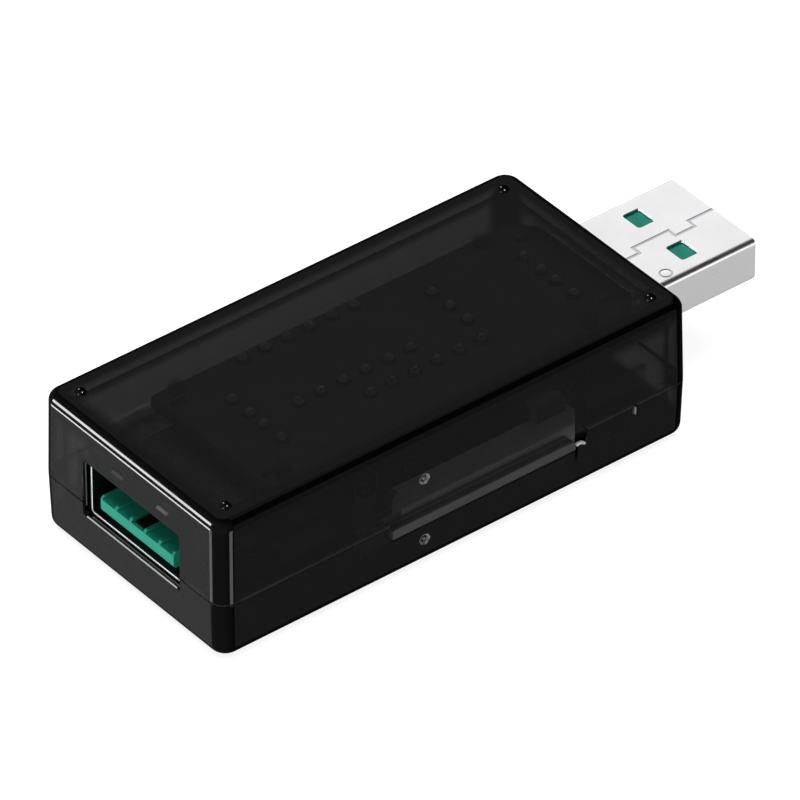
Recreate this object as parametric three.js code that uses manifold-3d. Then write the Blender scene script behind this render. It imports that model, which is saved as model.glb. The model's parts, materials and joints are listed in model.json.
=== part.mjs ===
// Pass-through USB power meter: a smoked two-part case with a USB-A plug at one end, a USB-A port
// at the other, a board with a segment display between them, and a lever button in one long side.
// Millimetres. The meter lies on its display face: +Z is its back, +X the plug end, and the button
// is in the -Y side. The origin is the middle of the case's flat front, on the surface it rests on.
import * as THREE from 'three';
import { mergeVertices } from 'three/addons/utils/BufferGeometryUtils.js';
import Module from 'manifold-3d';

// Case
const CASE_LENGTH = 52.7;
const CASE_WIDTH = 25.8;
const CASE_HEIGHT = 14.7;
const SEAM = 5.95; // height of the parting line, where the case is widest
const SEAM_GAP = 0.06;
const WALL = 1.2;
const FLOOR = 1.2;
const CEILING = CASE_HEIGHT - 1.35;
const CORNER_RADIUS = 1.63;
const BACK_FILLET = 0.92;
const FRONT_FILLET = 1.13;
const DRAFT = 0.15; // how far each wall leans in between the seam and its far edge
const FOOT = { x: 23.7, y: 10.3, radius: 0.6, height: 0.35 };
const DIMPLE = { x: -3.75, heights: [2.65, 9.35], radius: 0.58, depth: 0.26 };

// USB-A plug
const PLUG = {
  y: 0.15, z: 8.74, width: 12, height: 4.5, sheet: 0.3, corner: 0.55,
  tip: CASE_LENGTH / 2 + 13.4, rear: 21.3, cavity: 11.75,
};
const PLUG_WINDOW = { fromTip: 6.15, length: 2.0, width: 2.45, offset: 3.05, corner: 0.3 };
const PLUG_JOINT = { width: 0.14, depth: 0.2, near: -1.03, far: -0.03, turns: [30.35, 34.5, 36.8] };
const PLUG_MARK = { x: 30.25, y: -4.8, radius: 0.7, line: 0.14, depth: 0.1 };
const PLUG_TONGUE = { thickness: 1.9, fromTip: 0.6 };

// Contacts
const PIN_OFFSETS = [-3.5, -1, 1, 3.5];
const CONTACT = { width: 1, thickness: 0.2, channel: 1.3, leg: 0.26, legWidth: 0.6 };
const PLUG_CONTACT = { fromTip: 1.8, thickness: 0.25, signalStep: 1 }; // the two middle ones stop sooner
const SPRING = { free: -20.9, crest: -19.8, fold: -19, foot: -17.2, rise: 0.75, drop: 0.4 };

const FIT = PLUG.sheet + 0.06; // from a connector's outside to the plastic within it
const SLACK = 0.15; // all round a connector where it passes through the case

// USB-A port
const PORT = { y: -0.08, z: 7.56, width: 13.1, height: 5.72, sheet: 0.3, setback: 0.45, rear: -12.8 };
const PORT_OPENING = { y: -0.12, z: 7.56, width: 13.75, height: 6.04 };
const TONGUE = { width: 10.4, bottom: 5.55, top: 7.25, front: -25.64, root: -14.6, chamfer: 0.3 };
const GROOVE = { pitch: 2.05, width: 1.7, depth: 0.3, end: -21.5 };
const MIDDLE_CONTACT = { width: 1.24, thickness: 0.15 };

// Board
const BOARD = { left: -17.4, right: 24.8, halfWidth: 8.5, bottom: 11.05, top: 12.25, chamfer: 2 };
const PIN_TOP = 12.95;
const PIN_HOLE = 0.5;
const SOLDER = { base: 0.75, tip: 0.3 };
const PARTS_Z = BOARD.bottom - 0.05; // parts hang below the board from here
const PILLARS = [[-15.3, 7.6], [-15.3, -7.6], [19, 7.6], [19, -7.6]];
const PILLAR_RADIUS = 0.8;
const PORT_PIN_X = -12.3;
const PLUG_PIN_X = 20.65;
const PORT_LEG = { x: -16, length: 1.2 };
const PLUG_LEG = { x: 22.6, length: 1.2 };

// Display and the rest of the electronics
const DISPLAY = { x: -1.75, y: 3.5, length: 20, width: 12, bottom: 1.95, top: 7.9, pins: 6, rows: 8 };
const PITCH = 2.5;
const HEADER = { x: 3.95, y: -3.35, pins: 6, body: 2.5, pinBottom: 5 };
const REGULATOR = {
  x: 11, y: 2.1, radius: 2.3, height: 4.6, flat: 1.3, lift: 1.2, lead: 0.4, neckPitch: 1.27,
};
const DIGIT = { count: 4, pitch: 4.7, width: 3, height: 6, stroke: 0.6, gap: 0.5, depth: 1 };
const FILM = 0.2;
const GASKET = { overhang: 0.8, window: 2 };
const CONTROLLER = {
  x: 16.2, y: 0, width: 3.9, length: 8.6, height: 1.45, lift: 0.15, leadPitch: 1.27, leads: 7, lead: 0.4,
};
const CHIPS = [[8.6, 6.6], [12, 6.9], [15.6, 6.7], [-9.6, -2], [7.4, 2]];
const CHIP_SIZE = [2, 1.25, 0.6];
const CAPACITOR_SIZE = [2.8, 3.4, 1.9];
const CAPACITORS = { input: [16.4, -6.5], output: [-10, 4.3] };
const SHUNT = { x: -7.1, y: -6, size: [6.3, 3.2, 0.7] };

// Lever button and its switch
const SLOT = { left: -7.5, right: 13.45, bottom: 4.18 };
const BAR = { left: -7.35, right: 13.25, bottom: 4.3, top: 5.28, corner: 0.45 };
const NOTCH = { right: 14.45, bottom: 4.7 };
const SLIT = { width: 0.22, bottom: 3.25 };
const TAB_NOTCH = { left: 19.95, right: 20.25, bottom: 4.85 };
const CARRIER = { left: -6.4, right: 14.2, bottom: 3, top: 8, outer: -11.55, inner: -10.7, corner: 0.7 };
const HINGE = { x: -8.7, y: -10.6, pin: 0.5, hole: 0.6, barrel: 0.95, boss: 1.2 };
const SWITCH = { x: 11.5, length: 6, front: -9.5, back: -5.9, bottom: 7.3 };
const STEM = { z: 8.8, width: 2.9, height: 1.4, tip: -10.35, inside: 1.6, clearance: 0.15 };
const EAR = { width: 3.2, top: 9.6, face: -10.45 };
const TABS = [[-19.6, -12.9], [15, 22.4]];
const TAB = { outer: 11.6, inner: 10.95, bottom: 2.5, top: 8.6, barb: 0.35, catchZ: 7.4 };

const wasm = await Module();
wasm.setup();
const meter = new THREE.Group();
meter.name = 'usb_power_meter';

// --- solids -------------------------------------------------------------------------------------

function solid(geometry) {
  const bare = new THREE.BufferGeometry();
  bare.setAttribute('position', geometry.getAttribute('position'));
  bare.setIndex(geometry.index);
  const merged = mergeVertices(bare, 1e-5);
  return new wasm.Manifold(new wasm.Mesh({
    numProp: 3,
    vertProperties: merged.attributes.position.array,
    triVerts: new Uint32Array(merged.index.array),
  }));
}

function join(...shapes) {
  return shapes.flat().reduce((whole, shape) => whole.add(shape));
}

function cut(shape, ...tools) {
  return tools.flat().reduce((left, tool) => left.subtract(tool), shape);
}

function box([x0, x1], [y0, y1], [z0, z1]) {
  const geometry = new THREE.BoxGeometry(x1 - x0, y1 - y0, z1 - z0);
  return solid(geometry.translate((x0 + x1) / 2, (y0 + y1) / 2, (z0 + z1) / 2));
}

// An upright round bar, or a cone when its top and bottom radii differ.
function rod(x, y, [z0, z1], bottomRadius, topRadius = bottomRadius, sides = 16) {
  const geometry = new THREE.CylinderGeometry(topRadius, bottomRadius, z1 - z0, sides);
  return solid(geometry.rotateX(Math.PI / 2).translate(x, y, (z0 + z1) / 2));
}

function extrude(shape, depth, curveSegments = 4) {
  return new THREE.ExtrudeGeometry(shape, { depth, bevelEnabled: false, curveSegments });
}

// An outline in the X-Y plane carried up from z0 to z1.
function upright(shape, [z0, z1]) {
  return solid(extrude(shape, z1 - z0).translate(0, 0, z0));
}

// An outline whose own x is the part's Y and whose own y is the part's Z, carried along X.
function alongX(shape, [x0, x1]) {
  const turn = new THREE.Matrix4().makeBasis(
    new THREE.Vector3(0, 1, 0), new THREE.Vector3(0, 0, 1), new THREE.Vector3(1, 0, 0));
  return solid(extrude(shape, x1 - x0).applyMatrix4(turn).translate(x0, 0, 0));
}

// An outline in the X-Z plane carried along Y.
function alongY(shape, [y0, y1]) {
  return solid(extrude(shape, y1 - y0).rotateX(Math.PI / 2).translate(0, y1, 0));
}

function rectangle(width, height, radius, x = 0, y = 0) {
  const shape = new THREE.Shape();
  const [right, top] = [x + width / 2 - radius, y + height / 2 - radius];
  const [left, bottom] = [x - width / 2 + radius, y - height / 2 + radius];
  shape.absarc(right, top, radius, 0, Math.PI / 2);
  shape.absarc(left, top, radius, Math.PI / 2, Math.PI);
  shape.absarc(left, bottom, radius, Math.PI, 1.5 * Math.PI);
  shape.absarc(right, bottom, radius, 1.5 * Math.PI, 2 * Math.PI);
  return shape;
}

function outline(points) {
  return new THREE.Shape(points.map(([x, y]) => new THREE.Vector2(x, y)));
}

function part(name, shape, colour, roughness, metalness = 0) {
  const { vertProperties, triVerts } = shape.getMesh();
  const geometry = new THREE.BufferGeometry();
  geometry.setAttribute('position', new THREE.BufferAttribute(vertProperties, 3));
  geometry.setIndex(new THREE.BufferAttribute(triVerts, 1));
  const material = new THREE.MeshStandardMaterial({ color: colour, roughness, metalness });
  const mesh = new THREE.Mesh(geometry, material);
  mesh.name = name;
  meter.add(mesh);
  return mesh;
}

// --- case ---------------------------------------------------------------------------------------

// Half of the case as a filleted block: the walls lean in from the seam to the edge at z = far.
function caseBlock(fillet, [z0, z1], far) {
  const geometry = new THREE.ExtrudeGeometry(rectangle(CASE_LENGTH, CASE_WIDTH, CORNER_RADIUS), {
    depth: z1 - z0 - 2 * fillet,
    bevelThickness: fillet,
    bevelSize: fillet,
    bevelOffset: -fillet,
    bevelSegments: 5,
    curveSegments: 4,
  }).translate(0, 0, z0 + fillet);
  const place = geometry.getAttribute('position');
  for (let i = 0; i < place.count; i += 1) {
    const lean = DRAFT * (place.getZ(i) - SEAM) / (far - SEAM);
    place.setX(i, place.getX(i) - Math.sign(place.getX(i)) * lean);
    place.setY(i, place.getY(i) - Math.sign(place.getY(i)) * lean);
  }
  return solid(geometry);
}

function cavity([z0, z1]) {
  return upright(rectangle(CASE_LENGTH - 2 * WALL, CASE_WIDTH - 2 * WALL, CORNER_RADIUS - WALL), [z0, z1]);
}

function portOpening() {
  const { width, height, y, z } = PORT_OPENING;
  return alongX(rectangle(width, height, 0.35, y, z), [-CASE_LENGTH, PORT.rear - 10]);
}

function plugOpening() {
  const halfWidth = PLUG.width / 2 + SLACK;
  const top = PLUG.z + PLUG.height / 2 + SLACK;
  return box([CASE_LENGTH / 2 - 2 * WALL, CASE_LENGTH], [PLUG.y - halfWidth, PLUG.y + halfWidth], [0, top]);
}

// A shallow round dish in the button side, where the moulding was gated.
function dimple(z) {
  const { x, radius, depth } = DIMPLE;
  const ball = (radius ** 2 + depth ** 2) / (2 * depth);
  const face = -CASE_WIDTH / 2 + DRAFT / 3;
  return solid(new THREE.SphereGeometry(ball, 16, 12).translate(x, face - ball + depth, z));
}

function tabs(side) {
  return TABS.map(([x0, x1]) => {
    const { outer, inner, bottom, top, barb, catchZ } = TAB;
    const y = (value) => side * value;
    const span = (a, b) => [Math.min(y(a), y(b)), Math.max(y(a), y(b))];
    const blade = box([x0, x1], span(inner, outer), [bottom, top]);
    const root = box([x0, x1], span(inner, outer + 0.3), [bottom, SEAM - 0.1]);
    const wedge = outline([[y(outer - 0.1), catchZ], [y(outer + barb), catchZ],
      [y(outer + barb), catchZ + 0.2], [y(outer - 0.1), top]]);
    return join(blade, root, alongX(wedge, [x0 + barb, x1 - barb]));
  });
}

function tabPockets(side) {
  const { outer, barb, catchZ, top } = TAB;
  const depth = [outer - 0.2, outer + barb + 0.2].map((value) => side * value).sort((a, b) => a - b);
  return TABS.map(([x0, x1]) => box([x0 + 0.2, x1 - 0.2], depth, [catchZ - 0.2, top]));
}

function buttonSlot() {
  const open = SEAM + 1;
  const shape = outline([
    [SLOT.left, open], [SLOT.left, SLOT.bottom], [SLOT.right - SLIT.width, SLOT.bottom],
    [SLOT.right - SLIT.width, SLIT.bottom], [SLOT.right, SLIT.bottom], [SLOT.right, NOTCH.bottom],
    [NOTCH.right, NOTCH.bottom], [NOTCH.right, open],
  ]);
  return alongY(shape, [-CASE_WIDTH, -CASE_WIDTH / 2 + WALL + 0.05]);
}

function backCover() {
  const below = SEAM + SEAM_GAP / 2;
  const block = caseBlock(BACK_FILLET, [2, CASE_HEIGHT], CASE_HEIGHT);
  const trim = box([-60, 60], [-60, 60], [-10, below]);
  const shell = cut(block, trim, cavity([0, CEILING]), portOpening(), plugOpening(),
    tabPockets(1), tabPockets(-1), dimple(DIMPLE.heights[1]));
  const feet = [-1, 1].flatMap((sx) => [-1, 1].map((sy) => solid(
    new THREE.SphereGeometry(FOOT.radius, 12, 8)
      .rotateX(Math.PI / 2)
      .translate(sx * FOOT.x, sy * FOOT.y, CASE_HEIGHT - FOOT.radius + FOOT.height))));
  const posts = PILLARS.map(([x, y]) => rod(x, y, [BOARD.top + 0.1, CEILING + 0.3], PILLAR_RADIUS));
  const { boss, hole } = HINGE;
  const hingeBoss = cut(rod(HINGE.x, HINGE.y, [9.4, CEILING + 0.3], boss),
    rod(HINGE.x, HINGE.y, [9, 10.3], hole));
  return join(shell, feet, posts, hingeBoss);
}

function frontCover() {
  const above = SEAM - SEAM_GAP / 2;
  const block = caseBlock(FRONT_FILLET, [0, 13], 0);
  const trim = box([-60, 60], [-60, 60], [above, 20]);
  const shell = cut(block, trim, cavity([FLOOR, 20]), portOpening(), dimple(DIMPLE.heights[0]));
  const sill = box([CASE_LENGTH / 2 - WALL, CASE_LENGTH / 2 - 0.05],
    [PLUG.y - PLUG.width / 2 + 0.2, PLUG.y + PLUG.width / 2 - 0.2],
    [SEAM - 0.6, PLUG.z - PLUG.height / 2 - SLACK]);
  const pillars = PILLARS.map(([x, y]) => rod(x, y, [FLOOR - 0.3, BOARD.bottom - 0.1], PILLAR_RADIUS));
  const hingeBoss = rod(HINGE.x, HINGE.y, [FLOOR - 0.3, 2.7], HINGE.boss);
  const tabNotch = box([TAB_NOTCH.left, TAB_NOTCH.right], [-20, -CASE_WIDTH / 2 + WALL],
    [TAB_NOTCH.bottom, SEAM + 1]);
  return cut(join(shell, sill, pillars, hingeBoss, tabs(1), tabs(-1)),
    rod(HINGE.x, HINGE.y, [FLOOR + 0.1, 4], HINGE.hole), buttonSlot(), tabNotch);
}

// --- button -------------------------------------------------------------------------------------

// A lever on an upright pin: its bar lies in the case's slot, and the carrier behind the wall
// keeps it in and reaches up to the switch.
function sideButton() {
  const bar = new THREE.Shape();
  bar.moveTo(BAR.left, BAR.bottom);
  bar.lineTo(BAR.right, BAR.bottom);
  bar.absarc(BAR.right - BAR.corner, BAR.top - BAR.corner, BAR.corner, 0, Math.PI / 2);
  bar.lineTo(BAR.left, BAR.top);
  const { left, right, bottom, top, outer, inner, corner } = CARRIER;
  const carrier = alongY(rectangle(right - left, top - bottom, corner, (left + right) / 2,
    (bottom + top) / 2), [outer, inner]);
  const arm = box([HINGE.x, left + 1], [outer, inner], [bottom, bottom + 3]);
  const ear = box([SWITCH.x - EAR.width / 2, SWITCH.x + EAR.width / 2], [outer, EAR.face],
    [bottom + 3, EAR.top]);
  const barrel = rod(HINGE.x, HINGE.y, [bottom, 9.1], HINGE.barrel);
  return cut(join(alongY(bar, [-CASE_WIDTH / 2 + 0.04, outer + 0.1]), carrier, arm, ear, barrel),
    rod(HINGE.x, HINGE.y, [0, 12], HINGE.hole));
}

// The plunger, or with a clearance the hole that it slides in.
function stem(clearance, [y0, y1]) {
  const halfWidth = STEM.width / 2 + clearance;
  const halfHeight = STEM.height / 2 + clearance;
  return box([SWITCH.x - halfWidth, SWITCH.x + halfWidth], [y0, y1],
    [STEM.z - halfHeight, STEM.z + halfHeight]);
}

function switchBody() {
  const { x, length, front, back, bottom } = SWITCH;
  const body = box([x - length / 2, x + length / 2], [front, back], [bottom, PARTS_Z]);
  return cut(body, stem(STEM.clearance, [front - 1, front + STEM.inside + 0.6]));
}

// --- connectors ---------------------------------------------------------------------------------

// A pin through the board with its solder fillet on the back.
function solderedPin(x, y, bottom, thickness, width) {
  const pin = box([x - thickness / 2, x + thickness / 2], [y - width / 2, y + width / 2], [bottom, PIN_TOP]);
  return join(pin, rod(x, y, [BOARD.top + 0.05, PIN_TOP - 0.1], SOLDER.base, SOLDER.tip, 10));
}

function tube({ y, z, width, height, sheet, corner = 0.5 }, [x0, x1]) {
  const shape = rectangle(width, height, corner, y, z);
  shape.holes.push(rectangle(width - 2 * sheet, height - 2 * sheet, corner - sheet + 0.05, y, z));
  return alongX(shape, [x0, x1]);
}

function legs({ y, z, width, height, sheet }, { x, length }) {
  return [-1, 1].map((side) => {
    const middle = y + side * (width / 2 - sheet / 2);
    return box([x - length / 2, x + length / 2], [middle - sheet / 2, middle + sheet / 2],
      [z + height / 2 - 1, PIN_TOP - 0.15]);
  });
}

// The rolled sheet closes in a stepped joint along the middle of the face towards the board.
function plugJoint() {
  const { width, near, far, turns } = PLUG_JOINT;
  const half = width / 2;
  const top = PLUG.z + PLUG.height / 2;
  const depth = [top - PLUG_JOINT.depth, top + 1];
  const stops = [PLUG.rear - 1, ...turns, PLUG.tip + 1];
  const runs = stops.slice(1).map((to, i) => {
    const y = PLUG.y + (i % 2 ? far : near);
    return box([stops[i] - half, to + half], [y - half, y + half], depth);
  });
  const steps = turns.map((x) => box([x - half, x + half],
    [PLUG.y + near - half, PLUG.y + far + half], depth));
  return [...runs, ...steps];
}

function plugShell() {
  const { fromTip, length, width, offset, corner } = PLUG_WINDOW;
  const middle = PLUG.tip - fromTip;
  const windows = [-offset, offset].map((dy) => upright(
    rectangle(length, width, corner, middle, PLUG.y + dy), [PLUG.z - 4, PLUG.z + 4]));
  const { x, y, radius, line, depth } = PLUG_MARK;
  const top = PLUG.z + PLUG.height / 2;
  const mark = rod(x, PLUG.y + y, [top - depth, top + 1], radius);
  const markCore = rod(x, PLUG.y + y, [top - 2 * depth, top + 2], radius - line);
  return cut(join(tube(PLUG, [PLUG.rear, PLUG.tip]), legs(PLUG, PLUG_LEG)),
    windows, plugJoint(), cut(mark, markCore));
}

// The groove that a contact at y lies in.
function channel(along, y, depth) {
  return box(along, [y - CONTACT.channel / 2, y + CONTACT.channel / 2], depth);
}

function plugContactEnd(offset) {
  const { fromTip, signalStep } = PLUG_CONTACT;
  return PLUG.tip - fromTip - (Math.abs(offset) < 2 ? signalStep : 0);
}

function plugInsulator() {
  const inside = PLUG.height / 2 - FIT;
  const width = PLUG.width - 2 * FIT;
  const root = PLUG.tip - PLUG.cavity;
  const { thickness, fromTip } = PLUG_TONGUE;
  const under = PLUG.z + inside - thickness;
  const plate = alongX(rectangle(width, thickness, 0.3, PLUG.y, under + thickness / 2),
    [root - 1, PLUG.tip - fromTip]);
  const block = alongX(rectangle(width, 2 * inside, 0.3, PLUG.y, PLUG.z), [PLUG.rear + 0.2, root]);
  const depth = [under - 0.15, under + PLUG_CONTACT.thickness + 0.15];
  return cut(join(plate, block), PIN_OFFSETS.map(
    (offset) => channel([PLUG.rear - 1, plugContactEnd(offset) + 0.15], PLUG.y + offset, depth)));
}

function plugContact(offset) {
  const { width, leg, legWidth } = CONTACT;
  const under = PLUG.z + PLUG.height / 2 - FIT - PLUG_TONGUE.thickness;
  const y = PLUG.y + offset;
  const blade = box([PLUG_PIN_X - leg / 2, plugContactEnd(offset)], [y - width / 2, y + width / 2],
    [under, under + PLUG_CONTACT.thickness]);
  return join(blade, solderedPin(PLUG_PIN_X, y, under, leg, legWidth));
}

function portShell() {
  const front = -CASE_LENGTH / 2 + PORT.setback;
  return join(tube(PORT, [front, PORT.rear]), legs(PORT, PORT_LEG));
}

function portInsulator() {
  const { width, bottom, top, front, root, chamfer } = TONGUE;
  const blade = outline([
    [root + 1, bottom], [front + 0.2, bottom], [front, bottom + chamfer], [front, top - chamfer],
    [front + 0.25, top], [root + 1, top],
  ]);
  const tongue = alongY(blade, [PORT.y - width / 2, PORT.y + width / 2]);
  const block = alongX(rectangle(PORT.width - 2 * FIT, PORT.height - 2 * FIT, 0.3, PORT.y, PORT.z),
    [root, PORT.rear - 0.3]);
  const grooves = [-2, -1, 0, 1, 2].map((step) => {
    const y = PORT.y + step * GROOVE.pitch;
    return box([front - 1, GROOVE.end], [y - GROOVE.width / 2, y + GROOVE.width / 2],
      [top - GROOVE.depth, top + 1]);
  });
  return cut(join(tongue, block), grooves, PIN_OFFSETS.map(
    (offset) => channel([root - 1, PORT.rear + 1], PORT.y + offset, [top - 0.2, top + 0.5])));
}

// A spring blade that rises to a rounded contact point near its free end.
function portContact(offset) {
  const { width, thickness, leg, legWidth } = CONTACT;
  const { free, crest, fold, foot, rise, drop } = SPRING;
  const y = PORT.y + offset;
  const z = TONGUE.top + 0.06;
  const blade = outline([
    [PORT_PIN_X, z], [PORT_PIN_X, z + thickness], [foot, z + thickness], [fold, z + rise],
    [crest, z + rise], [free, z + drop], [free, z + drop - thickness], [crest + 0.05, z + rise - thickness],
    [fold - 0.05, z + rise - thickness], [foot - 0.05, z],
  ]);
  return join(alongY(blade, [y - width / 2, y + width / 2]),
    solderedPin(PORT_PIN_X, y, z, leg, legWidth));
}

function middleContact() {
  const { width, thickness } = MIDDLE_CONTACT;
  const z = TONGUE.top - GROOVE.depth + 0.02;
  return box([TONGUE.front + TONGUE.chamfer, GROOVE.end - 0.1], [PORT.y - width / 2, PORT.y + width / 2],
    [z, z + thickness]);
}

// --- board and what it carries ------------------------------------------------------------------

const headerPlaces = (count) => Array.from({ length: count }, (_, i) => (i - (count - 1) / 2) * PITCH);
const displayPins = headerPlaces(DISPLAY.pins).flatMap((dx) => [-1, 1].map(
  (side) => [DISPLAY.x + dx, DISPLAY.y + side * DISPLAY.rows / 2]));
const headerPins = headerPlaces(HEADER.pins).map((dx) => [HEADER.x + dx, HEADER.y]);
const regulatorPins = [-PITCH, 0, PITCH].map((dy) => [REGULATOR.x, REGULATOR.y + dy]);
const portPins = PIN_OFFSETS.map((offset) => [PORT_PIN_X, PORT.y + offset]);
const plugPins = PIN_OFFSETS.map((offset) => [PLUG_PIN_X, PLUG.y + offset]);

function mainBoard() {
  const { left, right, halfWidth, chamfer, bottom, top } = BOARD;
  const shape = outline([
    [left, -halfWidth], [right - chamfer, -halfWidth], [right, chamfer - halfWidth],
    [right, halfWidth - chamfer], [right - chamfer, halfWidth], [left, halfWidth],
  ]);
  const through = [bottom - 1, top + 1];
  const holes = [displayPins, headerPins, regulatorPins, portPins, plugPins].flat().map(
    ([x, y]) => rod(x, y, through, PIN_HOLE, PIN_HOLE, 8));
  const slots = [[PORT, PORT_LEG], [PLUG, PLUG_LEG]].flatMap(([shell, leg]) => [-1, 1].map((side) => {
    const middle = shell.y + side * (shell.width / 2 - shell.sheet / 2);
    return box([leg.x - leg.length / 2 - 0.2, leg.x + leg.length / 2 + 0.2], [middle - 0.35, middle + 0.35],
      through);
  }));
  return cut(upright(shape, [bottom, top]), holes, slots);
}

// The seven bars of one digit, as [x0, x1, y0, y1].
function digitBars(middle, y) {
  const { width, height, stroke, gap } = DIGIT;
  const across = [-1, 0, 1].map((row) => {
    const level = y + row * height / 2;
    return [middle - width / 2 + gap, middle + width / 2 - gap, level - stroke / 2, level + stroke / 2];
  });
  const down = [-1, 1].flatMap((side) => [-height / 2, 0].map((start) => {
    const edge = middle + side * width / 2;
    return [edge - stroke / 2, edge + stroke / 2, y + start + gap, y + start + height / 2 - gap];
  }));
  return [...across, ...down];
}

// The digits are wells sunk into the face of the housing.
function displayHousing() {
  const { x, y, length, width, bottom, top } = DISPLAY;
  const body = box([x - length / 2, x + length / 2], [y - width / 2, y + width / 2], [bottom, top]);
  const { count, pitch } = DIGIT;
  const middles = Array.from({ length: count }, (_, i) => x + (i - (count - 1) / 2) * pitch);
  const wells = middles.flatMap((middle) => digitBars(middle, y)).map(
    ([x0, x1, y0, y1]) => box([x0, x1], [y0, y1], [bottom - 1, bottom + DIGIT.depth]));
  return join(cut(body, wells), displayPins.map(([px, py]) => solderedPin(px, py, top - 0.5, 0.5, 0.5)));
}

function displayPlate(margin, [z0, z1], opening) {
  const { x, y, length, width } = DISPLAY;
  const shape = rectangle(length + margin, width + margin, 0.4, x, y);
  if (opening) shape.holes.push(rectangle(length - opening, width - opening, 0.4, x, y));
  return upright(shape, [z0, z1]);
}

// A bent lead on each side at every pitch, from the middle of the body down to the board.
function microcontroller() {
  const { x, y, width, length, height, lift, leadPitch, leads, lead } = CONTROLLER;
  const body = box([x - width / 2, x + width / 2], [y - length / 2, y + length / 2],
    [PARTS_Z - lift - height, PARTS_Z - lift]);
  const sheet = 0.2;
  const middle = PARTS_Z - lift - height / 2;
  const rows = Array.from({ length: leads }, (_, i) => y + (i - (leads - 1) / 2) * leadPitch);
  const bent = rows.flatMap((row) => [-1, 1].flatMap((side) => {
    const across = [row - lead / 2, row + lead / 2];
    const bend = x + side * (width / 2 + 0.45);
    const span = (a, b) => [Math.min(a, b), Math.max(a, b)];
    return [
      box(span(bend - side * 0.6, bend + side * sheet / 2), across, [middle - sheet / 2, middle + sheet / 2]),
      box(span(bend - side * sheet / 2, bend + side * sheet / 2), across, [middle - sheet / 2, PARTS_Z]),
      box(span(bend, bend + side * 0.6), across, [PARTS_Z - sheet, PARTS_Z]),
    ];
  }));
  return join(body, bent);
}

// A round-backed three-lead package whose leads spread out to the board's pitch.
function regulator() {
  const { x, y, radius, height, flat, lift, lead, neckPitch } = REGULATOR;
  const top = PARTS_Z - lift;
  const across = [x - lead / 2, x + lead / 2];
  const body = cut(rod(x, y, [top - height, top], radius), box([x + flat, x + 5], [y - 5, y + 5], [0, 20]));
  const leads = regulatorPins.map(([px, py]) => solderedPin(px, py, PARTS_Z - 0.8, lead, lead));
  const fans = [-1, 1].map((side) => {
    const ends = [y + side * (neckPitch - lead / 2), y + side * (PITCH + lead / 2)].sort((a, b) => a - b);
    return box(across, ends, [PARTS_Z - 0.8, PARTS_Z - 0.5]);
  });
  const necks = [-1, 0, 1].map((side) => box(across,
    [y + side * neckPitch - lead / 2, y + side * neckPitch + lead / 2], [top - 0.5, PARTS_Z - 0.5]));
  return join(body, leads, fans, necks);
}

function serviceHeader() {
  const { x, y, pins, body, pinBottom } = HEADER;
  const strip = box([x - pins * PITCH / 2, x + pins * PITCH / 2], [y - body / 2, y + body / 2],
    [PARTS_Z - body, PARTS_Z]);
  return join(strip, headerPins.map(([px, py]) => solderedPin(px, py, pinBottom, 0.6, 0.6)));
}

// A block with two end caps that stand out a little, as a chip resistor or a capacitor has.
function chip(x, y, [length, width, height]) {
  const cap = length * 0.2;
  const ends = [-1, 1].map((side) => {
    const middle = x + side * (length - cap) / 2;
    return box([middle - cap / 2, middle + cap / 2], [y - width / 2, y + width / 2],
      [PARTS_Z - height, PARTS_Z]);
  });
  const core = box([x - length / 2 + cap / 2, x + length / 2 - cap / 2],
    [y - width / 2 + 0.05, y + width / 2 - 0.05], [PARTS_Z - height + 0.05, PARTS_Z - 0.05]);
  return join(core, ends);
}

// --- the meter ----------------------------------------------------------------------------------

part('back_cover', backCover(), 0x16171a, 0.12);
part('front_cover', frontCover(), 0x16171a, 0.12);
part('side_button', sideButton(), 0x3a3b3d, 0.5);
part('button_pin', rod(HINGE.x, HINGE.y, [FLOOR + 0.3, 10.1], HINGE.pin), 0xb8babd, 0.3, 1);
part('switch_body', switchBody(), 0x1d1d1f, 0.5);
part('switch_plunger', stem(0, [STEM.tip, SWITCH.front + STEM.inside]), 0x7c6a4a, 0.5);

part('main_board', mainBoard(), 0x0e2b1c, 0.45);
part('display_housing', displayHousing(), 0xc9c9c4, 0.5);
const filmTop = DISPLAY.bottom - 0.05;
const gasketTop = filmTop - FILM - 0.05;
part('display_film', displayPlate(0, [filmTop - FILM, filmTop]), 0x151517, 0.3);
part('display_gasket', displayPlate(GASKET.overhang, [FLOOR + 0.05, gasketTop], GASKET.window),
  0x101010, 0.9);
part('microcontroller', microcontroller(), 0x1b1b1c, 0.5);
part('regulator', regulator(), 0x1b1b1c, 0.5);
part('service_header', serviceHeader(), 0x17181a, 0.5);
part('shunt_resistor', chip(SHUNT.x, SHUNT.y, SHUNT.size), 0x232323, 0.5);
part('input_capacitor', chip(...CAPACITORS.input, CAPACITOR_SIZE), 0xb9822c, 0.45);
part('output_capacitor', chip(...CAPACITORS.output, CAPACITOR_SIZE), 0xb9822c, 0.45);
CHIPS.forEach(([x, y], i) => part(`chip_${i + 1}`, chip(x, y, CHIP_SIZE), 0x8d8471, 0.5));

part('plug_shell', plugShell(), 0xd6d8da, 0.25, 1);
part('plug_insulator', plugInsulator(), 0x16806a, 0.4);
PIN_OFFSETS.forEach((offset, i) => part(`plug_contact_${i + 1}`, plugContact(offset), 0xc9a44c, 0.25, 1));
part('port_shell', portShell(), 0xc4c6c8, 0.3, 1);
part('port_insulator', portInsulator(), 0x16806a, 0.4);
PIN_OFFSETS.forEach((offset, i) => part(`port_contact_${i + 1}`, portContact(offset), 0xc9a44c, 0.25, 1));
part('port_middle_contact', middleContact(), 0x9a5a33, 0.35, 1);

export default meter;
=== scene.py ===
import json
import math

import bmesh
import bpy
from mathutils import Matrix, Vector

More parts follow.
